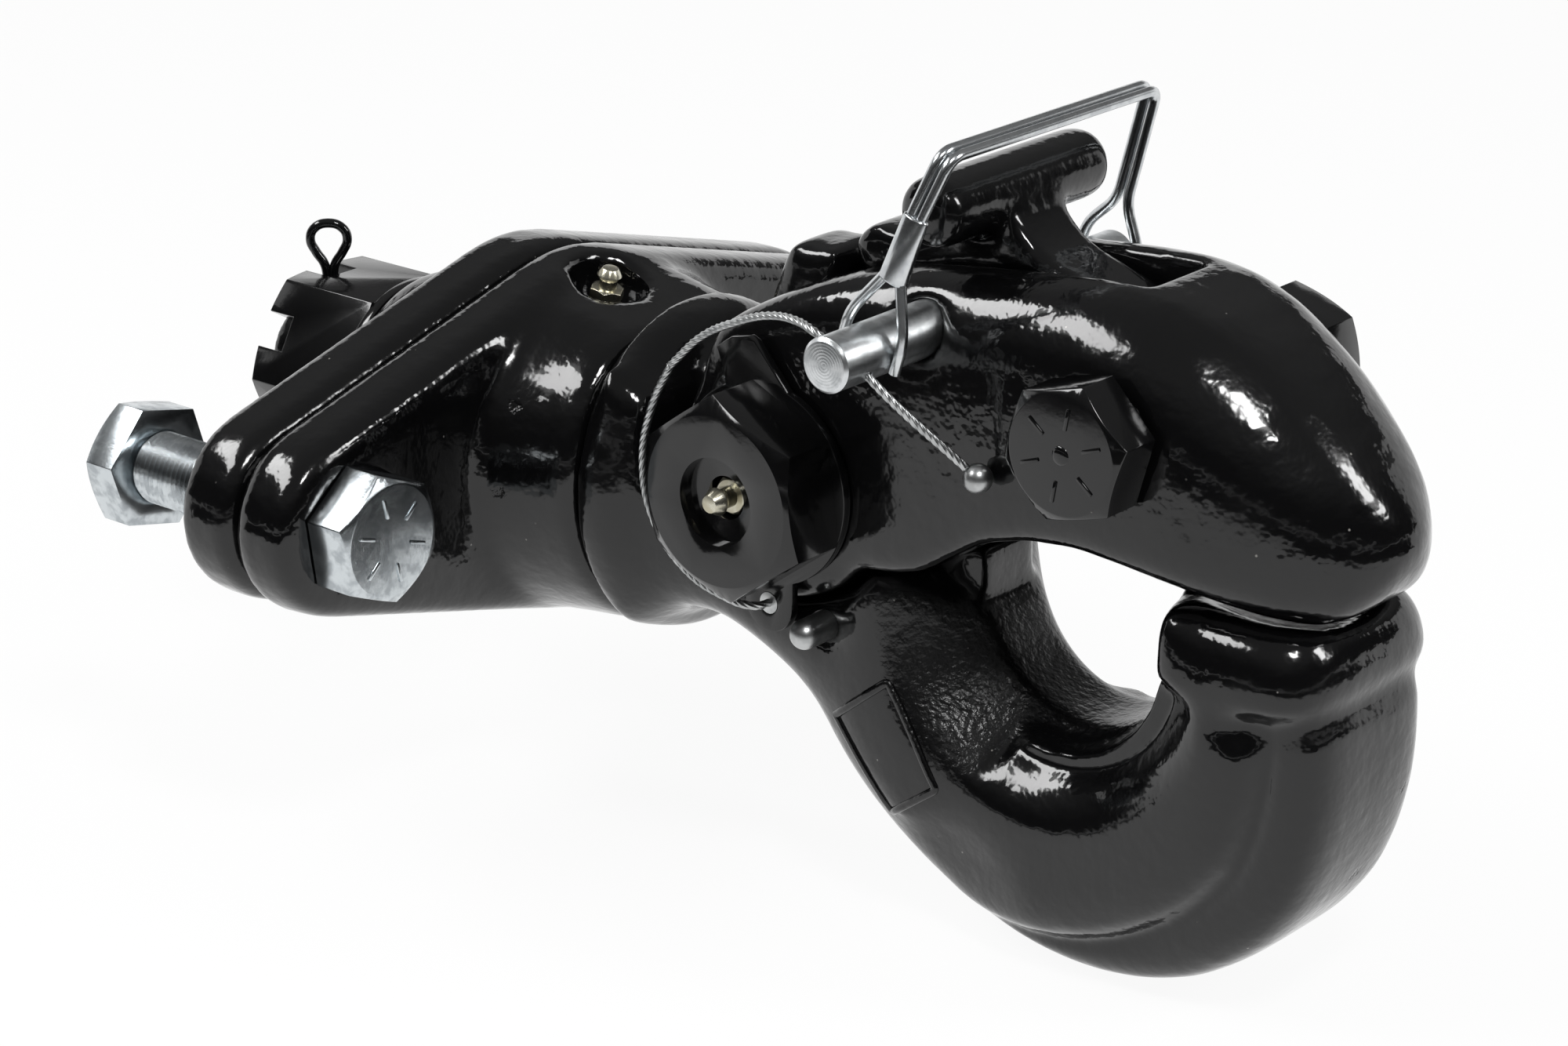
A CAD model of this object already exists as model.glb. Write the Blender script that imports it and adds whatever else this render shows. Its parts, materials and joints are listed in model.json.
# %% [markdown]
# A swivel-mount pintle hook, dressed for a studio photograph.
# The CAD model is loaded first and stays where it is: every piece made here is built around it,
# in metres, in the same frame. X runs along the swivel axis towards the hook and Z is up. The places of
# the throat's axis, the jaw's pivot, the lock's bolt and the safety pin are given here in millimetres.

# %% Load the frame
import json
import math
import bmesh
import bpy
from mathutils import Matrix, Vector


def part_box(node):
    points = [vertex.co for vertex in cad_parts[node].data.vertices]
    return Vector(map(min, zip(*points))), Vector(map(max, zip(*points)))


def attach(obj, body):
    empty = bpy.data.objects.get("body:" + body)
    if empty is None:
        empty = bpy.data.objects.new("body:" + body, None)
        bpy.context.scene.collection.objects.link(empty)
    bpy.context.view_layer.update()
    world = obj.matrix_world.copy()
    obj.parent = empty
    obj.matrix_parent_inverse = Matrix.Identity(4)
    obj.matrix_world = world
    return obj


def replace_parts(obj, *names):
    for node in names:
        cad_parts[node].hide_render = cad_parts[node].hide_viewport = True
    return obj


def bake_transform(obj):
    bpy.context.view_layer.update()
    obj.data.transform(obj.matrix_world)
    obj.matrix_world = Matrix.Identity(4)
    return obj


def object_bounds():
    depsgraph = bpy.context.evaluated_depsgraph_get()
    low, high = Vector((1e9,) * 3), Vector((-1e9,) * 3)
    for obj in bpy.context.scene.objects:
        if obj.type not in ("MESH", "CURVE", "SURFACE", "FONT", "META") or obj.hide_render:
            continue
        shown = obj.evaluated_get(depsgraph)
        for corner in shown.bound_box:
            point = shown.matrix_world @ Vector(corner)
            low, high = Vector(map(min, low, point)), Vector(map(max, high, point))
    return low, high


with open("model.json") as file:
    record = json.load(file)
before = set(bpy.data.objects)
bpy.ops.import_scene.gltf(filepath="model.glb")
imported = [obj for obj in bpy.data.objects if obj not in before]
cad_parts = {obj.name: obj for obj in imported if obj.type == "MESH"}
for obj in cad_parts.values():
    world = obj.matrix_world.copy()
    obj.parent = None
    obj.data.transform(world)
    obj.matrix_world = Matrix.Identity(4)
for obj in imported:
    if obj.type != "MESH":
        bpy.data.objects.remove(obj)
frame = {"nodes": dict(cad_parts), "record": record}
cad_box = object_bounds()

MM = 0.001
THROAT_X, THROAT_Z = 192.0, -5.0
PIVOT_X, PIVOT_Z = 119.0, 16.0
LOCK_X, LOCK_Z = 210.0, 46.0
PIN_X, PIN_Z = 158.0, 59.0
scene = bpy.context.scene
scene.view_settings.view_transform = "Standard"
print("CAD box", [[round(c, 4) for c in corner] for corner in cad_box])

# %% [markdown]
# The camera stands where the photographer stood. Its place and its long lens were solved from the
# bolts, the plates and the pins in the photograph, so the picture needs no shift and no cropping.

# %% Camera at the photograph's angle
CAMERA_AT = Vector((0.6960, -0.7187, 0.3404))
CAMERA_AIM = Vector((0.0950, 0.0, -0.0100))
FOCAL_MM = 95.05

camera = bpy.data.cameras.new("photo_camera")
camera.sensor_fit = "HORIZONTAL"
camera.sensor_width = 36
camera.lens = FOCAL_MM
camera.clip_end = 50
camera_obj = bpy.data.objects.new("photo_camera", camera)
scene.collection.objects.link(camera_obj)
camera_obj.location = CAMERA_AT
camera_obj.rotation_euler = (CAMERA_AIM - CAMERA_AT).to_track_quat("-Z", "Y").to_euler()
scene.camera = camera_obj
print("camera", round((CAMERA_AIM - CAMERA_AT).length, 3), "m from its aim")

# %% [markdown]
# Node trees are easier to read when each node is one line. This helper makes a node, sets its
# options, and fills its inputs: a socket is linked and a plain value is typed in. An input is given by
# its name, or by its number after an underscore where two inputs share a name.

# %% Helpers for node trees
def put(tree, kind, options=None, **inputs):
    node = tree.nodes.new(kind)
    for key, value in (options or {}).items():
        setattr(node, key, value)
    for key, value in inputs.items():
        socket = node.inputs[int(key[1:])] if key[0] == "_" else node.inputs[key.replace("_", " ")]
        if isinstance(value, bpy.types.NodeSocket):
            tree.links.new(value, socket)
        else:
            socket.default_value = value
    return node


def maths(tree, operation, a, b=0.0):
    return put(tree, "ShaderNodeMath", {"operation": operation}, _0=a, _1=b).outputs[0]


def ramp(tree, value, low, high):
    """Smooth step from 0 at low to 1 at high."""
    return put(tree, "ShaderNodeMapRange", {"interpolation_type": "SMOOTHSTEP"}, Value=value,
               From_Min=low, From_Max=high, To_Min=0.0, To_Max=1.0).outputs[0]


def noise(tree, vector, scale, detail=2.0):
    return put(tree, "ShaderNodeTexNoise", Vector=vector, Scale=scale, Detail=detail).outputs[0]


def new_group(name, inputs, outputs):
    group = bpy.data.node_groups.new(name, "ShaderNodeTree")
    for label, kind, value in inputs:
        socket = group.interface.new_socket(name=label, in_out="INPUT", socket_type="NodeSocket" + kind)
        if value is not None:
            socket.default_value = value
    for label, kind in outputs:
        group.interface.new_socket(name=label, in_out="OUTPUT", socket_type="NodeSocket" + kind)
    return group, group.nodes.new("NodeGroupInput").outputs, group.nodes.new("NodeGroupOutput").inputs


# %% [markdown]
# Thick black paint flows before it dries. It leaves an orange peel over the casting's slow waves, it
# softens the grain under it, and its gloss varies a little. One group gives all of this, and each
# material sets how strong it is.

# %% Paint skin, shared by every painted casting
paint_skin, i, o = new_group("paint_skin",
    [("Vector", "Vector", None), ("Peel", "Float", 0.5), ("Grain", "Float", 0.2), ("Gloss", "Float", 0.1)],
    [("Height", "Float"), ("Roughness", "Float")])
wave = noise(paint_skin, i["Vector"], 45.0, 0.0)
peel = noise(paint_skin, i["Vector"], 230.0, 2.0)
grain = noise(paint_skin, i["Vector"], 900.0, 3.0)
smudge = noise(paint_skin, i["Vector"], 40.0, 4.0)
slow = maths(paint_skin, "ADD", maths(paint_skin, "MULTIPLY", wave, 2.0), peel)
height = maths(paint_skin, "ADD", maths(paint_skin, "MULTIPLY", slow, i["Peel"]),
               maths(paint_skin, "MULTIPLY", grain, i["Grain"]))
paint_skin.links.new(height, o["Height"])
spread = maths(paint_skin, "MULTIPLY", ramp(paint_skin, smudge, 0.35, 0.75), 0.10)
paint_skin.links.new(maths(paint_skin, "ADD", spread, i["Gloss"]), o["Roughness"])
print("paint skin group", len(paint_skin.nodes), "nodes")

# %% [markdown]
# A casting is never perfect: a few pits show through the paint, and pale dust sits in the finish.
# Both come from thresholds on cell patterns, so most of the surface stays clean.

# %% Pits and dust, shared by the black finishes
pits_and_dust, i, o = new_group("pits_and_dust",
    [("Vector", "Vector", None), ("Pits", "Float", 0.5), ("Dust", "Float", 0.1)],
    [("Height", "Float"), ("Dust", "Float")])
cells = put(pits_and_dust, "ShaderNodeTexVoronoi", {"feature": "F1"}, Vector=i["Vector"], Scale=42.0)
cell_tone = put(pits_and_dust, "ShaderNodeSeparateColor", Color=cells.outputs["Color"]).outputs[0]
chosen = ramp(pits_and_dust, cell_tone, 0.84, 0.86)
ragged = maths(pits_and_dust, "ADD", cells.outputs["Distance"],
               maths(pits_and_dust, "MULTIPLY", noise(pits_and_dust, i["Vector"], 700.0), 0.16))
hollow = maths(pits_and_dust, "SUBTRACT", 1.0, ramp(pits_and_dust, ragged, 0.10, 0.17))
depth = maths(pits_and_dust, "MULTIPLY", maths(pits_and_dust, "MULTIPLY", hollow, chosen), i["Pits"])
pits_and_dust.links.new(maths(pits_and_dust, "MULTIPLY", depth, -1.0), o["Height"])
motes = put(pits_and_dust, "ShaderNodeTexVoronoi", {"feature": "F1"}, Vector=i["Vector"], Scale=260.0)
mote_tone = put(pits_and_dust, "ShaderNodeSeparateColor", Color=motes.outputs["Color"]).outputs[1]
rare = ramp(pits_and_dust, mote_tone, 0.93, 0.95)
speck = maths(pits_and_dust, "SUBTRACT", 1.0, ramp(pits_and_dust, motes.outputs["Distance"], 0.05, 0.09))
shown = maths(pits_and_dust, "MULTIPLY", maths(pits_and_dust, "MULTIPLY", speck, rare), i["Dust"])
pits_and_dust.links.new(shown, o["Dust"])
print("pits and dust group", len(pits_and_dust.nodes), "nodes")

# %% [markdown]
# Zinc plating is bright but cloudy: cool and warm patches, fine draw lines, and gloss that comes and
# goes. The group puts out a colour mask, a height and a roughness for the plated pieces.

# %% Zinc bloom, shared by the plated pieces
zinc_bloom, i, o = new_group("zinc_bloom",
    [("Vector", "Vector", None), ("Cloud", "Float", 0.5), ("Scratch", "Float", 0.2),
     ("Gloss", "Float", 0.25)],
    [("Mask", "Float"), ("Height", "Float"), ("Roughness", "Float")])
cloud = noise(zinc_bloom, i["Vector"], 260.0, 6.0)
stretch = put(zinc_bloom, "ShaderNodeMapping", Vector=i["Vector"], Scale=(1.0, 14.0, 1.0)).outputs[0]
scratch = noise(zinc_bloom, stretch, 700.0, 2.0)
mask = maths(zinc_bloom, "MULTIPLY", ramp(zinc_bloom, cloud, 0.40, 0.62), i["Cloud"])
zinc_bloom.links.new(mask, o["Mask"])
zinc_bloom.links.new(maths(zinc_bloom, "MULTIPLY", scratch, i["Scratch"]), o["Height"])
dull = maths(zinc_bloom, "ADD", i["Gloss"], maths(zinc_bloom, "MULTIPLY", cloud, 0.16))
zinc_bloom.links.new(dull, o["Roughness"])
print("zinc bloom group", len(zinc_bloom.nodes), "nodes")


# %% [markdown]
# Each finish is one Principled BSDF. Values that are the same all over are typed on the shader, and
# only what changes over the surface comes from the groups.

# %% Finish builders
def start_material(name):
    material = bpy.data.materials.new(name)
    material.use_nodes = True
    tree = material.node_tree
    shader = tree.nodes["Principled BSDF"]
    place = put(tree, "ShaderNodeTexCoord").outputs["Object"]
    return material, tree, shader, place


def bump_into(tree, shader, height, distance_mm):
    bump = put(tree, "ShaderNodeBump", Height=height, Distance=distance_mm * MM, Strength=1.0)
    tree.links.new(bump.outputs[0], shader.inputs["Normal"])


PAINT_BLACK, DUST_GREY = (0.0022, 0.0022, 0.0024, 1), (0.30, 0.29, 0.27, 1)


def black_finish(name, peel, grain, gloss, pits, dust, coat, throat=False):
    material, tree, shader, place = start_material(name)
    skin = put(tree, "ShaderNodeGroup", {"node_tree": paint_skin}, Vector=place, Peel=peel, Grain=grain,
               Gloss=gloss)
    flaws = put(tree, "ShaderNodeGroup", {"node_tree": pits_and_dust}, Vector=place, Pits=pits, Dust=dust)
    tint = put(tree, "ShaderNodeMix", {"data_type": "RGBA"}, _0=flaws.outputs["Dust"],
               _6=PAINT_BLACK, _7=DUST_GREY).outputs[2]
    tree.links.new(tint, shader.inputs["Base Color"])
    height = maths(tree, "ADD", skin.outputs["Height"], flaws.outputs["Height"])
    roughness = skin.outputs["Roughness"]
    if throat:
        inside, sand = throat_grain(tree, place)
        height = maths(tree, "ADD", height, sand)
        roughness = maths(tree, "ADD", roughness, maths(tree, "MULTIPLY", inside, 0.20))
    tree.links.new(roughness, shader.inputs["Roughness"])
    shader.inputs["Specular IOR Level"].default_value = 0.45
    shader.inputs["Coat Weight"].default_value = coat
    shader.inputs["Coat Roughness"].default_value = 0.09
    bump_into(tree, shader, height, 0.35)
    return material


# %% [markdown]
# The throat, where the trailer's eye rubs, is left as it was cast: coarse sand grain under the paint.
# Its mask is the distance from the throat's axis, which runs across the hook along Y. The rear wall's
# grain goes out over the flare to both sides, and elsewhere it stays on the land in the middle.

# %% Rough cast skin inside the throat
LAND_HALF, FLARE_RUN, FLARE_RISE = 0.010, 0.021, 0.011


def throat_grain(tree, place):
    x, y, z = put(tree, "ShaderNodeSeparateXYZ", Vector=place).outputs
    side = maths(tree, "SUBTRACT", maths(tree, "ABSOLUTE", y), LAND_HALF)
    flare = put(tree, "ShaderNodeMapRange", Value=side, From_Max=FLARE_RUN).outputs[0]
    dx = maths(tree, "SUBTRACT", x, THROAT_X * MM)
    dx = maths(tree, "ADD", dx, maths(tree, "MULTIPLY", flare, 0.006))
    dz = maths(tree, "SUBTRACT", z, THROAT_Z * MM)
    dz = maths(tree, "ADD", dz, maths(tree, "MULTIPLY", flare, 0.005))
    dz = maths(tree, "MINIMUM", dz, 0.0)
    squares = maths(tree, "ADD", maths(tree, "MULTIPLY", dx, dx), maths(tree, "MULTIPLY", dz, dz))
    reach = maths(tree, "SQRT", squares)
    rear = maths(tree, "SUBTRACT", 1.0, ramp(tree, x, 0.170, 0.188))
    spread = maths(tree, "MULTIPLY", maths(tree, "MULTIPLY", flare, rear), FLARE_RISE)
    beyond = maths(tree, "SUBTRACT", reach, spread)
    inside = maths(tree, "SUBTRACT", 1.0, ramp(tree, beyond, 0.0270, 0.0300))
    sand = noise(tree, place, 620.0, 2.0)
    return inside, maths(tree, "MULTIPLY", maths(tree, "MULTIPLY", sand, inside), 1.1)


casting_black = black_finish("casting_black", peel=0.70, grain=0.03, gloss=0.07, pits=0.7, dust=0.6,
                             coat=0.15)
hook_black = black_finish("hook_black", peel=0.70, grain=0.03, gloss=0.07, pits=1.6, dust=0.6, coat=0.15,
                          throat=True)
fastener_black = black_finish("fastener_black", peel=0.08, grain=0.03, gloss=0.10, pits=0.0, dust=0.35,
                              coat=0.2)
print("black finishes made")


# %% [markdown]
# Plated and bare metals share one builder: a bright tone, a cloudy tone, and how they mix. The safety
# pin's end also shows the fine rings of the lathe, as waves of the distance from the pin's axis.

# %% Plated and bare metal finishes
def plated_finish(name, bright, cloudy, cloud, scratch, gloss, rings_about=None):
    material, tree, shader, place = start_material(name)
    bloom = put(tree, "ShaderNodeGroup", {"node_tree": zinc_bloom}, Vector=place, Cloud=cloud,
                Scratch=scratch, Gloss=gloss)
    tint = put(tree, "ShaderNodeMix", {"data_type": "RGBA"}, _0=bloom.outputs["Mask"],
               _6=(*bright, 1), _7=(*cloudy, 1)).outputs[2]
    tree.links.new(tint, shader.inputs["Base Color"])
    tree.links.new(bloom.outputs["Roughness"], shader.inputs["Roughness"])
    shader.inputs["Metallic"].default_value = 1.0
    height = bloom.outputs["Height"]
    if rings_about:
        across = put(tree, "ShaderNodeVectorMath", {"operation": "MULTIPLY"}, _0=place, _1=(1, 0, 1))
        reach = put(tree, "ShaderNodeVectorMath", {"operation": "DISTANCE"}, _0=across.outputs[0],
                    _1=rings_about)
        rings = maths(tree, "SINE", maths(tree, "MULTIPLY", reach.outputs["Value"], 9000.0))
        height = maths(tree, "ADD", height, maths(tree, "MULTIPLY", rings, 0.12))
    bump_into(tree, shader, height, 0.06)
    return material


zinc = plated_finish("zinc", (0.62, 0.66, 0.68), (0.38, 0.41, 0.43), cloud=0.9, scratch=0.3, gloss=0.12)
zinc_pin = plated_finish("zinc_pin", (0.70, 0.72, 0.73), (0.46, 0.48, 0.49), cloud=0.8, scratch=0.3,
                         gloss=0.24, rings_about=(PIN_X * MM, 0.0, PIN_Z * MM))
zinc_wire = plated_finish("zinc_wire", (0.64, 0.66, 0.67), (0.46, 0.48, 0.50), cloud=0.6, scratch=0.15,
                          gloss=0.14)
rope_steel = plated_finish("rope_steel", (0.52, 0.53, 0.53), (0.36, 0.37, 0.37), cloud=0.7, scratch=0.2,
                           gloss=0.26)
yellow_zinc = plated_finish("yellow_zinc", (0.62, 0.60, 0.50), (0.44, 0.41, 0.30), cloud=0.8, scratch=0.2,
                            gloss=0.2)
bronze = plated_finish("bronze", (0.55, 0.36, 0.15), (0.40, 0.25, 0.10), cloud=0.7, scratch=0.2, gloss=0.3)
print("metal finishes made")

# %% [markdown]
# Every new piece ends the same way: its mesh becomes an object at the origin, takes a finish, rides on
# a body of the frame, and hides the CAD solid that it stands for.

# %% Helpers for pieces
nodes = frame["nodes"]
BODY_OF = {n: body for body, names in frame["record"]["behaviour"]["bodies"].items() for n in names}


def merged_copy(node):
    """The node's CAD mesh as a bmesh with its loose triangles joined."""
    bm = bmesh.new()
    bm.from_mesh(nodes[node].data)
    bmesh.ops.remove_doubles(bm, verts=bm.verts, dist=2e-6)
    return bm


def evaluated(obj):
    """The object's shape after its modifiers, as a bmesh."""
    bpy.context.view_layer.update()
    bm = bmesh.new()
    bm.from_mesh(bpy.data.meshes.new_from_object(obj.evaluated_get(bpy.context.evaluated_depsgraph_get())))
    return bm


def finish_piece(name, bm, node, material, smooth_deg=35.0, rides=True):
    mesh = bpy.data.meshes.new(name)
    for face in bm.faces:
        face.smooth = True
    for edge in bm.edges:
        edge.smooth = len(edge.link_faces) == 2 and edge.calc_face_angle(0.0) < math.radians(smooth_deg)
    bm.to_mesh(mesh)
    bm.free()
    mesh.materials.append(material)
    obj = bpy.data.objects.new(name, mesh)
    scene.collection.objects.link(obj)
    if rides:
        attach(obj, BODY_OF[node])
    return obj


# %% [markdown]
# The five castings leave the CAD with crisp lofted faces. A real casting has a radius on every edge
# and paint that rounds it further. A voxel remesh turns each solid into one even skin, and smoothing
# that skin melts the edges, inside and outside corners alike. Faces that seat on another piece are
# smoothed less, so a rule for each casting says which vertices, in millimetres, are soft.

# %% Castings with melted edges
def even_skin(node, voxel_mm):
    source = finish_piece("skin_source", merged_copy(node), node, casting_black)
    remesh = source.modifiers.new("skin", "REMESH")
    remesh.mode = "VOXEL"
    remesh.voxel_size = voxel_mm * MM
    skin = evaluated(source)
    bpy.data.objects.remove(source)
    return skin


def relax(skin, passes, soft=None):
    verts = [v for v in skin.verts if soft is None or soft(v.co / MM)]
    for _ in range(passes):
        bmesh.ops.smooth_vert(skin, verts=verts, factor=0.5, use_axis_x=True, use_axis_y=True,
                              use_axis_z=True)


def cast_piece(node, skin, material, smooth_deg=180.0):
    obj = finish_piece(node + "_skin", skin, node, material, smooth_deg)
    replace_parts(obj, node)
    print(obj.name, len(obj.data.polygons), "faces")


plate = even_skin("back_plate", 1.2)
relax(plate, 8)
cast_piece("back_plate", plate, casting_black)

housing = even_skin("swivel_housing", 1.2)
relax(housing, 8)
relax(housing, 30, lambda q: q.x > 26 and math.hypot(q.y, q.z) > 25)

lever = even_skin("lock_lever", 0.9)
relax(lever, 34)
cast_piece("lock_lever", lever, casting_black)

# %% [markdown]
# The well of the housing's grease fitting was bored after the casting, so its rim is crisp. The bore is
# cut again through the smoothed skin, square to the sloping top.

# %% Bored well of the housing
zerk_low, zerk_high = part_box("housing_zerk")
WELL_TOP = Vector(((zerk_low[0] + zerk_high[0]) / 2, 0.0, zerk_low[2]))
WELL_TILT = math.atan(10 / 45)
WELL_R = 9.9 * MM
BORE_LONG = 0.020
BORE_UP = 0.0104


def bored(skin, at, tilt, radius):
    """The skin with a round bore cut into it, square to a top that slopes by tilt."""
    pieces = []
    for name in ("bored", "bore"):
        mesh = bpy.data.meshes.new(name)
        pieces.append(bpy.data.objects.new(name, mesh))
        scene.collection.objects.link(pieces[-1])
    skin.to_mesh(pieces[0].data)
    skin.free()
    bore = bmesh.new()
    turned = Matrix.Translation(at) @ Matrix.Rotation(tilt, 4, "Y") @ Matrix.Translation((0, 0, BORE_UP))
    bmesh.ops.create_cone(bore, cap_ends=True, segments=96, radius1=radius, radius2=radius, depth=BORE_LONG,
                          matrix=turned)
    bore.to_mesh(pieces[1].data)
    bore.free()
    cut = pieces[0].modifiers.new("cut", "BOOLEAN")
    cut.operation, cut.solver, cut.object = "DIFFERENCE", "EXACT", pieces[1]
    result = evaluated(pieces[0])
    for piece in pieces:
        bpy.data.objects.remove(piece)
    return result


cast_piece("swivel_housing", bored(housing, WELL_TOP, WELL_TILT, WELL_R), casting_black, smooth_deg=50.0)

# %% [markdown]
# The jaw's cheeks are not flat: they crown towards the top, so that the upper part of each side mirrors
# the dark room and only its foot mirrors the floor. The crown is a small pull towards the middle plane.

# %% Upper jaw
CROWN_FOOT, CROWN_RISE, CROWN_PULL = 6, 62, 0.16
SLOT_HALF = 14 * MM
jaw = even_skin("upper_jaw", 1.1)
relax(jaw, 8)
relax(jaw, 30, lambda q: abs(q.y) > 16)
for v in jaw.verts:
    rise = min(max((v.co.z / MM - CROWN_FOOT) / CROWN_RISE, 0.0), 1.0)
    if abs(v.co.y) > SLOT_HALF:
        v.co.y -= math.copysign((abs(v.co.y) - SLOT_HALF) * CROWN_PULL * rise * rise, v.co.y)
relax(jaw, 3)
cast_piece("upper_jaw", jaw, casting_black)

# %% [markdown]
# The hook is the largest casting. Its side rolls over a wide round into the throat. A rib runs round the
# outside of the bend, with a valley between it and the body, and another valley parts the rib from the
# horn's head. All are pressed into the even skin: each vertex is asked how far it lies from the throat's
# axis and at which angle, and its side is moved to the width wanted there.

# %% Hook with its valleys
def bell(distance, width):
    return math.exp(-(distance / width) ** 2)


def fade(value, low, high):
    t = min(max((value - low) / (high - low), 0.0), 1.0)
    return t * t * (3 - 2 * t)


# Angle round the throat's axis in degrees, and the valley's distance from that axis in mm
VALLEY = ((240, 80), (268, 76), (298, 71), (319, 67.5), (339, 61.5), (360, 58))
BODY_HALF, RIB_HALF, BODY_RISE = 31, 23.5, 7


def valley_reach(angle):
    for (a, ra), (b, rb) in zip(VALLEY, VALLEY[1:]):
        if angle <= b:
            return ra + (rb - ra) * (angle - a) / (b - a)
    return VALLEY[-1][1]


def side_width(width, reach, angle):
    """Half width in mm of the hook's side, from the width that the plain skin has there."""
    line = valley_reach(angle)
    body = fade(angle, 246, 272) * (1 - fade(angle, 342, 354))
    t = min(max((line - reach) / 15, 0.0), 1.0)
    full = RIB_HALF + BODY_RISE * math.sqrt(1 - (1 - t) ** 2) if reach < line else 0.0
    wide = max(width, full) - 1.8 * bell(reach - line, 1.9)
    width += (wide - width) * body
    roll = BODY_HALF - 10 * (1 - min(max((reach - 34) / 17, 0.0), 1.0)) ** 2
    width += (min(width, roll) - width) * fade(angle, 214, 248) * (1 - fade(angle, 346, 359))
    return width


HORN_X, HORN_FOOT = 222, -14
hook = even_skin("hook_body", 1.2)
relax(hook, 8)
# Soft all over, apart from the shank, the lug round the pivot and the land of the throat
relax(hook, 45, lambda q: q.x > 66 and math.hypot(q.x - PIVOT_X, q.z - PIVOT_Z) > 24
      and not (abs(q.y) < 13 and math.hypot(q.x - THROAT_X, q.z - THROAT_Z) < 34))
hook.normal_update()
moves = []
for v in hook.verts:
    q, n = v.co / MM, v.normal
    out, rise = q.x - THROAT_X, q.z - THROAT_Z
    reach, angle = math.hypot(out, rise), math.degrees(math.atan2(rise, out)) % 360
    to = q.copy()
    if abs(n.y) > 0.25 and abs(q.y) > 15 and angle > 205 and q.x > 130:
        to.y = math.copysign(side_width(abs(q.y), reach, angle), q.y)
    if q.x > HORN_X and q.z > HORN_FOOT:
        crown = ((q.z - HORN_FOOT) / 24) ** 2 * fade(q.x, HORN_X, HORN_X + 14)
        to.y -= q.y * 0.15 * crown
        to.x -= 2.5 * crown * fade(q.x, 240, 268)
    head = bell(q.z + 13.5 - 4.5 * fade(q.x, 250, 270), 3.6) * fade(q.x, 232, 256) * (n.x > -0.4)
    moves.append((v, (to - n * 1.7 * head) * MM))
for v, to in moves:
    v.co = to
relax(hook, 5)
cast_piece("hook_body", hook, hook_black)

# %% [markdown]
# Fasteners are machined, so their edges stay crisp but not razor sharp. The CAD mesh is joined, its
# flat faces are made whole again, and only edges that turn by more than SHARP_DEG get a small bevel.

# %% Machined pieces with broken edges
SHARP_DEG = 28


def round_edges(bm, edges, offset_mm, segments=2):
    bmesh.ops.bevel(bm, geom=edges, offset=offset_mm * MM, offset_type="OFFSET", segments=segments,
                    profile=0.5, affect="EDGES", clamp_overlap=True, material=-1)


def bevelled(bm, bevel_mm):
    bmesh.ops.dissolve_limit(bm, angle_limit=math.radians(1.0), verts=bm.verts, edges=bm.edges)
    sharp = [e for e in bm.edges
             if len(e.link_faces) == 2 and e.calc_face_angle(0.0) > math.radians(SHARP_DEG)]
    round_edges(bm, sharp, bevel_mm)


def machined(node, material, bevel_mm):
    bm = merged_copy(node)
    bevelled(bm, bevel_mm)
    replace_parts(finish_piece(node + "_turned", bm, node, material), node)


for node, material, bevel_mm in (("castle_nut", fastener_black, 0.5), ("pivot_bolt", fastener_black, 0.6),
                                 ("pivot_nut", fastener_black, 0.6), ("lock_nut", fastener_black, 0.6),
                                 ("tab_washer", fastener_black, 0.3), ("shank_washer", fastener_black, 0.4),
                                 ("mount_nuts", zinc, 0.4), ("safety_pin", zinc_pin, 0.3),
                                 ("pivot_zerk", yellow_zinc, 0.12), ("housing_zerk", yellow_zinc, 0.12)):
    machined(node, material, bevel_mm)
print("machined pieces made")

# %% [markdown]
# Bolt heads carry short raised lines that give the strength of the steel. They are small boxes set out
# like the hours of a clock, a little below the rim. They join the head's mesh, so one piece is made.

# %% Strength marks on bolt heads
def strength_marks(bm, face, count, inner_mm, outer_mm, turn_deg=0.0):
    """Raised radial lines on a face: face maps Z to the way out of the head."""
    size = Matrix.Diagonal(((outer_mm - inner_mm) * MM, 0.9 * MM, 0.7 * MM, 1.0))
    out = Matrix.Translation(((inner_mm + outer_mm) / 2 * MM, 0, 0))
    for k in range(count):
        turn = Matrix.Rotation(math.radians(turn_deg) + k * 2 * math.pi / count, 4, "Z")
        made = bmesh.ops.create_cube(bm, size=1.0, matrix=face @ turn @ out @ size)
        round_edges(bm, list({e for v in made["verts"] for e in v.link_edges}), 0.2)


lock_head = merged_copy("lock_bolt")
bevelled(lock_head, 0.6)
lock_at = (LOCK_X * MM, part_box("lock_bolt")[0][1], LOCK_Z * MM)
LOCK_FACE = Matrix.Translation(lock_at) @ Matrix.Rotation(math.radians(90), 4, "X")
strength_marks(lock_head, LOCK_FACE, 6, 6.0, 11.0, 20)
dimple = Matrix.Diagonal((2.2 * MM, 2.2 * MM, 0.5 * MM, 1.0))
bmesh.ops.create_uvsphere(lock_head, u_segments=20, v_segments=10, radius=1.0, matrix=LOCK_FACE @ dimple)
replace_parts(finish_piece("lock_bolt_marked", lock_head, "lock_bolt", fastener_black), "lock_bolt")
print("lock bolt marked")

# %% [markdown]
# The mounting bolts show an inch of fine thread behind the plate. A zigzag of one ridge for each pitch
# is spun round the bolt's axis and moved one pitch along it in the turn, so the ridges join up into a
# true screw. A chamfered end is spun without that move, so that it closes flat. The head and the plain
# shank are kept from the CAD solid, cut off inside the plate.

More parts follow.
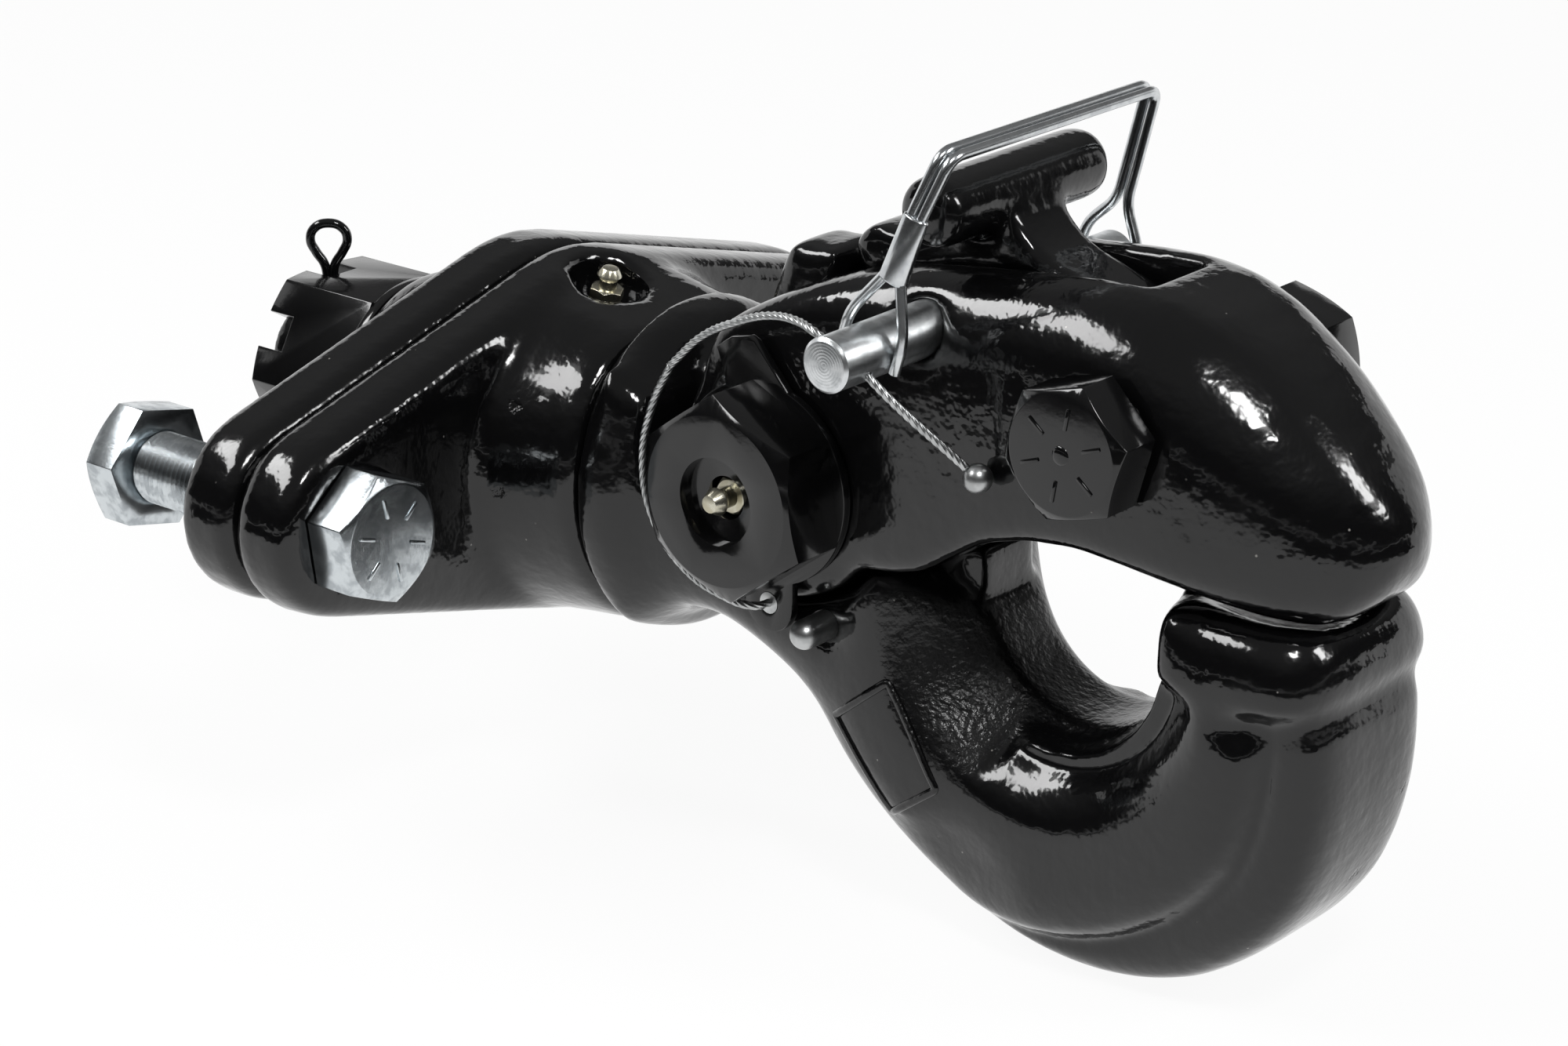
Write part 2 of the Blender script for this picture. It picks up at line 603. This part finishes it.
# %% Mounting bolts with a cut thread
PITCH = 1.5875 * MM
THREAD_R = 9.02 * MM
BOLT_Y = 88.0 * MM
bolts = merged_copy("mount_bolts")
bmesh.ops.bisect_plane(bolts, geom=bolts.verts[:] + bolts.edges[:] + bolts.faces[:], dist=1e-7,
                       plane_co=(4 * MM, 0, 0), plane_no=(1, 0, 0), clear_inner=True)
bmesh.ops.holes_fill(bolts, edges=[e for e in bolts.edges if len(e.link_faces) == 1], sides=0)
bevelled(bolts, 0.5)
HEAD_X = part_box("mount_bolts")[1][0]
END_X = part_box("mount_bolts")[0][0]
STEPS = 48
turns = int((0.005 - END_X) / PITCH) - 1
for side in (-1, 1):
    face = Matrix.Translation((HEAD_X, side * BOLT_Y, 0)) @ Matrix.Rotation(math.radians(90), 4, "Y")
    strength_marks(bolts, face, 6, 6.0, 11.0, 12)
    ring = []
    for k in range(2 * turns + 1):
        r = THREAD_R if k % 2 else THREAD_R - 0.95 * MM
        ring.append(bolts.verts.new((END_X + 1.2 * MM + k * PITCH / 2, side * BOLT_Y, r)))
    end = [bolts.verts.new((END_X + x * MM, side * BOLT_Y, r)) for x, r in (
        (0.0, 0.0), (0.0, THREAD_R - 1.9 * MM), (1.9, THREAD_R), (2.3, THREAD_R - 1.1 * MM))]
    for line, lead, closes in ((ring, PITCH / STEPS, False), (end, 0.0, True)):
        edges = [bolts.edges.new(pair) for pair in zip(line, line[1:])]
        bmesh.ops.spin(bolts, geom=line + edges, cent=(0, side * BOLT_Y, 0), axis=(1, 0, 0),
                       angle=2 * math.pi, steps=STEPS, dvec=(lead, 0, 0), use_merge=closes)
bmesh.ops.remove_doubles(bolts, verts=bolts.verts, dist=2e-6)
bmesh.ops.recalc_face_normals(bolts, faces=bolts.faces)
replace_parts(finish_piece("mount_bolts_threaded", bolts, "mount_bolts", zinc), "mount_bolts")
print("threads of", turns, "turns")

# %% [markdown]
# Bent wire is a curve with a round section: it passes through a few points and bends smoothly between
# them. The curve becomes a mesh at once, so the piece has its place in its mesh like every other.

# %% Wire through points
def bent(points_mm, radius_mm, steps=5):
    """The same route with each corner rounded by a curve that starts radius_mm before it."""
    route = [Vector(points_mm[0])]
    for before, corner, after in zip(points_mm, points_mm[1:], points_mm[2:]):
        a, b, c = Vector(before), Vector(corner), Vector(after)
        start = b + (a - b).normalized() * min(radius_mm, (a - b).length / 2)
        stop = b + (c - b).normalized() * min(radius_mm, (c - b).length / 2)
        for k in range(steps + 1):
            t = k / steps
            route.append((start * (1 - t) + b * t) * (1 - t) + (b * (1 - t) + stop * t) * t)
    return [tuple(point) for point in route + [Vector(points_mm[-1])]]


def curve_mesh(name, points_mm, radius_mm=None, profile=None, lay_mm=None, handle="AUTO"):
    data = bpy.data.curves.new(name, "CURVE")
    data.dimensions = "3D"
    data.resolution_u = 10
    data.use_fill_caps = True
    spline = data.splines.new("BEZIER")
    spline.bezier_points.add(len(points_mm) - 1)
    gone = 0.0
    for k, (knot, point) in enumerate(zip(spline.bezier_points, points_mm)):
        knot.co = Vector(point) * MM
        knot.handle_left_type = knot.handle_right_type = handle
        if k:
            gone += (Vector(point) - Vector(points_mm[k - 1])).length
        knot.tilt = 2 * math.pi * gone / lay_mm if lay_mm else 0.0
    if profile:
        data.bevel_mode = "OBJECT"
        data.bevel_object = profile
        data.resolution_u = 24
    else:
        data.bevel_depth = radius_mm * MM
        data.bevel_resolution = 4
    obj = bpy.data.objects.new(name, data)
    scene.collection.objects.link(obj)
    bm = evaluated(obj)
    bpy.data.objects.remove(obj)
    bmesh.ops.remove_doubles(bm, verts=bm.verts, dist=1e-6)
    bmesh.ops.recalc_face_normals(bm, faces=bm.faces)
    return bm


def joined(parts):
    """One bmesh of several."""
    whole = bmesh.new()
    for part in parts:
        mesh = bpy.data.meshes.new("part")
        part.to_mesh(mesh)
        part.free()
        whole.from_mesh(mesh)
        bpy.data.meshes.remove(mesh)
    return whole


# %% [markdown]
# The bail is two strands of one wire, side by side. They pass over the lock's cross bar, are gripped by
# the crimped sleeve and part below it to straddle the pin. The lean tilts the plane of the bail forward.

# %% Bail wire
LEAN = math.radians(18)
HINGE_Y, CHEEK_Y, BAIL_H, WIRE_R, BEND_R = -46.0, 34.0, 47.0, 1.3, 3.6


def bail_point(across, y, up):
    return (PIN_X + across * math.cos(LEAN) + up * math.sin(LEAN), y,
            PIN_Z - across * math.sin(LEAN) + up * math.cos(LEAN))


strands = []
for side in (-1, 1):
    w, p, f = side * (WIRE_R + 0.08), side * 7.8, CHEEK_Y + 8
    route = bent([
        bail_point(p, HINGE_Y, -2), bail_point(p, HINGE_Y, 5.5), bail_point(w, HINGE_Y + 1.1, 19.5),
        bail_point(w, HINGE_Y + 3, 32), bail_point(w, -CHEEK_Y - 4.4, BAIL_H), bail_point(w, f - 4, BAIL_H),
        bail_point(w, f - 1.2, 16), bail_point(p, f, 6), bail_point(p, f, -3)], BEND_R)
    strands.append(curve_mesh("strand", route, WIRE_R, handle="VECTOR"))
bail = finish_piece("bail_wire_bent", joined(strands), "bail_wire", zinc_wire, smooth_deg=60.0)
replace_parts(bail, "bail_wire")
sleeve = bmesh.new()
bmesh.ops.create_cone(sleeve, cap_ends=True, segments=40, radius1=3.7 * MM, radius2=3.2 * MM, depth=16 * MM)
bmesh.ops.scale(sleeve, vec=(1.0, 0.60, 1.0), verts=sleeve.verts)
ends = [e for e in sleeve.edges if e.calc_face_angle(0.0) > 1.0]
round_edges(sleeve, ends, 0.5, segments=3)
low, high = Vector(bail_point(0, HINGE_Y + 1.1, 17.5)), Vector(bail_point(0, HINGE_Y + 3, 32))
along, across = (high - low).normalized(), Vector((math.cos(LEAN), 0.0, -math.sin(LEAN)))
turned = Matrix((across, along.cross(across), along)).transposed().to_4x4()
stand = Matrix.Translation((low + high) / 2 * MM) @ turned
bmesh.ops.transform(sleeve, matrix=stand, verts=sleeve.verts)
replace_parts(finish_piece("bail_sleeve_crimped", sleeve, "bail_sleeve", zinc_wire), "bail_sleeve")
print("bail wire and sleeve made")

# %% [markdown]
# A cotter pin is one half-round wire folded into a teardrop eye, so its two legs lie flat together.

# %% Cotter pin with a teardrop eye
COTTER_X, NUT_HALF = -59.55, 23.8
EYE_TURN = math.radians(40)


def eye_point(across, up):
    return (COTTER_X + across * math.cos(EYE_TURN), across * math.sin(EYE_TURN), NUT_HALF + up)


eye = curve_mesh("eye", [eye_point(a, u) for a, u in (
    (-0.9, -6), (-0.9, -1), (-1.5, 1.6), (-3.4, 4.6), (-4.8, 8.0), (-3.7, 11.0), (0, 12.4), (3.7, 11.0),
    (4.8, 8.0), (3.4, 4.6), (1.5, 1.6), (0.9, -1), (0.9, -6))], 1.25)
legs = curve_mesh("legs", [(COTTER_X, 0, 20), (COTTER_X, 0, -24), (COTTER_X, 0, -31.5)], 2.0)
cotter = finish_piece("cotter_pin_bent", joined([eye, legs]), "cotter_pin", fastener_black, smooth_deg=60.0)
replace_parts(cotter, "cotter_pin")
print("cotter pin made")

# %% [markdown]
# The lanyard is thin wire rope: six strands laid round each other. A clover of six lobes, turned once
# for every lay length as it runs along the route, gives the twisted strands. It ties the hook to the pin
# across two joints, so it is made in three runs: each follows the bodies at its own two ends.

# %% Wire rope lanyard
ROPE_R = 1.0
LAY_MM = 13.0
ROUTE_MM = [(121, -36.5, -13), (120, -40, -13), (112, -42, -12), (100, -43, -7), (91, -43, 3),
            (88, -43, 16), (91, -43, 30), (98, -44, 42), (108, -45, 51), (120, -47, 57.5), (132, -49, 62),
            (142, -51.6, 63.4), (149, -54.2, 63.0), (154, -54, 60.8), (158, -53, 59), (163, -53, 55.5),
            (167, -51.5, 51.5), (172, -47, 44.8), (176, -43, 39.5), (180, -39.5, 34.5)]
clover = bpy.data.curves.new("clover", "CURVE")
clover.dimensions = "2D"
outline = clover.splines.new("POLY")
outline.use_cyclic_u = True
outline.points.add(23)
for k, point in enumerate(outline.points):
    a = 2 * math.pi * k / 24
    r = ROPE_R * MM * (0.86 + 0.14 * math.cos(6 * a))
    point.co = (r * math.cos(a), r * math.sin(a), 0, 1)
clover_obj = bpy.data.objects.new("clover", clover)
scene.collection.objects.link(clover_obj)


def rope_run(name, first, last):
    run = ROUTE_MM[first:last + 1]
    rope = curve_mesh(name, run, profile=clover_obj, lay_mm=LAY_MM)
    obj = finish_piece(name, rope, "lanyard_cable", rope_steel, smooth_deg=80.0, rides=False)
    return obj, [tuple(c * MM for c in point) for point in run]


def run_length(path):
    return sum((Vector(b) - Vector(a)).length for a, b in zip(path, path[1:]))


low_run, low_path = rope_run("lanyard_low", 0, 7)
high_run, high_path = rope_run("lanyard_high", 7, 14)
end_run, end_path = rope_run("lanyard_end", 14, 19)
bpy.data.objects.remove(clover_obj)
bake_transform(low_run)
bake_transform(high_run)
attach(end_run, "pin")
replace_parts(low_run, "lanyard_cable")
for run, path, far in ((low_run, low_path, "object"), (high_run, high_path, "object"),
                       (end_run, end_path, "fitting")):
    print(run.name, round(run_length(path) * 1000), "mm")

# %% [markdown]
# The maker's lettering is left off. Its raised frame on the hook's side is kept, bare: a bead whose points
# are dropped on the hook's skin along Y.

# %% Bare raised frame
FRAME_MM = ((135.5, -39.5), (151.0, -27.0), (166.0, -49.5), (151.5, -60.0))
BEAD_R, BEAD_SINK, PLAIN_SIDE = 1.15, 0.35, -26.0
skin_obj = bpy.data.objects["hook_body_skin"]
bead = []
for k in range(4):
    a, b = FRAME_MM[k], FRAME_MM[(k + 1) % 4]
    for step in range(8):
        t = step / 8
        x, z = a[0] + (b[0] - a[0]) * t, a[1] + (b[1] - a[1]) * t
        hit, spot, *_ = skin_obj.ray_cast(Vector((x, -80, z)) * MM, Vector((0, 1, 0)))
        bead.append((x, spot.y / MM + BEAD_SINK if hit else PLAIN_SIDE, z))
frame_bead = curve_mesh("bead", bent(bead + bead[:1], 1.0), BEAD_R, handle="VECTOR")
finish_piece("side_frame", frame_bead, "hook_body", hook_black, smooth_deg=80.0)
print("raised frame made")

# %% [markdown]
# Four small solids show too little to need a new mesh. They keep the CAD's shape and take a finish.

# %% CAD solids that keep their shape
for node, material in (("stop_stud", rope_steel), ("pivot_bush", bronze), ("lanyard_ball", rope_steel),
                       ("lanyard_ferrule", rope_steel)):
    nodes[node].data.materials.clear()
    nodes[node].data.materials.append(material)
    print(node, "keeps its CAD shape in", material.name)

# %% [markdown]
# The studio: a pale floor, a white surround that the camera and the metal both see, and three soft
# boxes. Gloss black shows only what it reflects, so dark cards stand round the set and lie on the floor
# in front of it, as a photographer would place them. They are seen in reflections alone.

# %% Floor and white surround
LOWEST = cad_box[0][2]


def flat_card(name, size, at, aim, material):
    bm = bmesh.new()
    bmesh.ops.create_grid(bm, x_segments=1, y_segments=1, size=size / 2)
    turn = (Vector(aim) - Vector(at)).to_track_quat("Z", "Y").to_matrix().to_4x4()
    bmesh.ops.transform(bm, matrix=Matrix.Translation(at) @ turn, verts=bm.verts)
    mesh = bpy.data.meshes.new(name)
    bm.to_mesh(mesh)
    bm.free()
    mesh.materials.append(material)
    obj = bpy.data.objects.new(name, mesh)
    scene.collection.objects.link(obj)
    return obj


def seen_rays(tree):
    """1 for what the camera sees, straight on or by reflection or through glass."""
    path = put(tree, "ShaderNodeLightPath").outputs
    by_eye = maths(tree, "MAXIMUM", path["Is Camera Ray"], path["Is Glossy Ray"])
    return maths(tree, "MAXIMUM", by_eye, path["Is Transmission Ray"])


floor_white, tree, shader, place = start_material("floor_white")
shader.inputs["Base Color"].default_value = (0.86, 0.86, 0.86, 1)
shader.inputs["Roughness"].default_value = 0.7
seen = seen_rays(tree)
glow = put(tree, "ShaderNodeEmission", Color=(1, 1, 1, 1), Strength=1.0).outputs[0]
share = maths(tree, "MULTIPLY", seen, 0.93)
mixed = put(tree, "ShaderNodeMixShader", _0=share, _1=shader.outputs[0], _2=glow)
tree.links.new(mixed.outputs[0], tree.nodes["Material Output"].inputs["Surface"])
floor = flat_card("floor", 12.0, (0.1, 0.0, LOWEST - 0.0005), (0.1, 0.0, 1.0), floor_white)

world = bpy.data.worlds.new("white_surround")
scene.world = world
world.use_nodes = True
tree = world.node_tree
seen = seen_rays(tree)
level = put(tree, "ShaderNodeMapRange", Value=seen, To_Min=0.35, To_Max=1.0).outputs[0]
tree.links.new(level, tree.nodes["Background"].inputs["Strength"])
tree.nodes["Background"].inputs["Color"].default_value = (1, 1, 1, 1)
print("floor at", round(floor.data.vertices[0].co.z, 4))


# %% Soft boxes
def soft_box(name, at, aim, width, height, power):
    lamp = bpy.data.lights.new(name, "AREA")
    lamp.shape = "RECTANGLE"
    lamp.size, lamp.size_y, lamp.energy = width, height, power
    obj = bpy.data.objects.new(name, lamp)
    scene.collection.objects.link(obj)
    obj.location = at
    obj.rotation_euler = (Vector(aim) - Vector(at)).to_track_quat("-Z", "Y").to_euler()
    obj.visible_camera = False


CENTRE = Vector((0.12, 0.0, 0.0))
for name, way, reach, width, height, power in (("top_box", (-0.50, -0.43, 0.69), 1.3, 0.95, 0.30, 11.0),
                                               ("right_box", (0.76, 0.32, 0.50), 1.4, 0.24, 0.50, 7.0),
                                               ("front_box", (0.50, -0.34, 0.75), 1.3, 0.24, 0.24, 7.0)):
    soft_box(name, CENTRE + Vector(way).normalized() * reach, CENTRE, width, height, power)

# %% Dark cards for the reflections
BACKDROP_WAY = Vector((-0.64, 0.77, 0.0))
ROOM_R, TABLE_R, APRON_SCALE = 2.5, 0.55, 6
card_dark, tree, shader, place = start_material("card_dark")
up = put(tree, "ShaderNodeSeparateXYZ", Vector=place).outputs[2]
level = put(tree, "ShaderNodeMapRange", {"interpolation_type": "SMOOTHSTEP"}, Value=up, From_Min=0.5,
            From_Max=1.9, To_Min=0.03, To_Max=0.20).outputs[0]
dim = put(tree, "ShaderNodeEmission", Color=(1, 1, 1, 1), Strength=level).outputs[0]
tree.links.new(dim, tree.nodes["Material Output"].inputs["Surface"])
tent = bmesh.new()
bmesh.ops.create_icosphere(tent, subdivisions=5, radius=ROOM_R)
for face in list(tent.faces):
    way = face.calc_center_median().normalized()
    behind = way.x * BACKDROP_WAY.x + way.y * BACKDROP_WAY.y > 0.25 and way.z < 0.38
    if way.z < 0.0 or behind:
        tent.faces.remove(face)
table = bmesh.ops.create_circle(tent, cap_ends=False, segments=96, radius=TABLE_R,
                                matrix=Matrix.Translation((CENTRE.x, 0, LOWEST + 0.001)))
rim = [e for v in table["verts"] for e in v.link_edges]
apron = bmesh.ops.extrude_edge_only(tent, edges=list(set(rim)))
for v in [g for g in apron["geom"] if isinstance(g, bmesh.types.BMVert)]:
    v.co.x, v.co.y = CENTRE.x + (v.co.x - CENTRE.x) * APRON_SCALE, v.co.y * APRON_SCALE
for face in [f for f in tent.faces if f.calc_center_median().z < 0]:
    if face.calc_center_median().dot(BACKDROP_WAY) > 0:
        tent.faces.remove(face)
bmesh.ops.delete(tent, geom=[v for v in tent.verts if not v.link_faces], context="VERTS")
mesh = bpy.data.meshes.new("dark_cards")
tent.to_mesh(mesh)
tent.free()
mesh.materials.append(card_dark)
cards = bpy.data.objects.new("dark_cards", mesh)
scene.collection.objects.link(cards)
for way in ("camera", "diffuse", "transmission", "volume_scatter", "shadow"):
    setattr(cards, "visible_" + way, False)
print("dark cards", len(mesh.polygons), "faces")
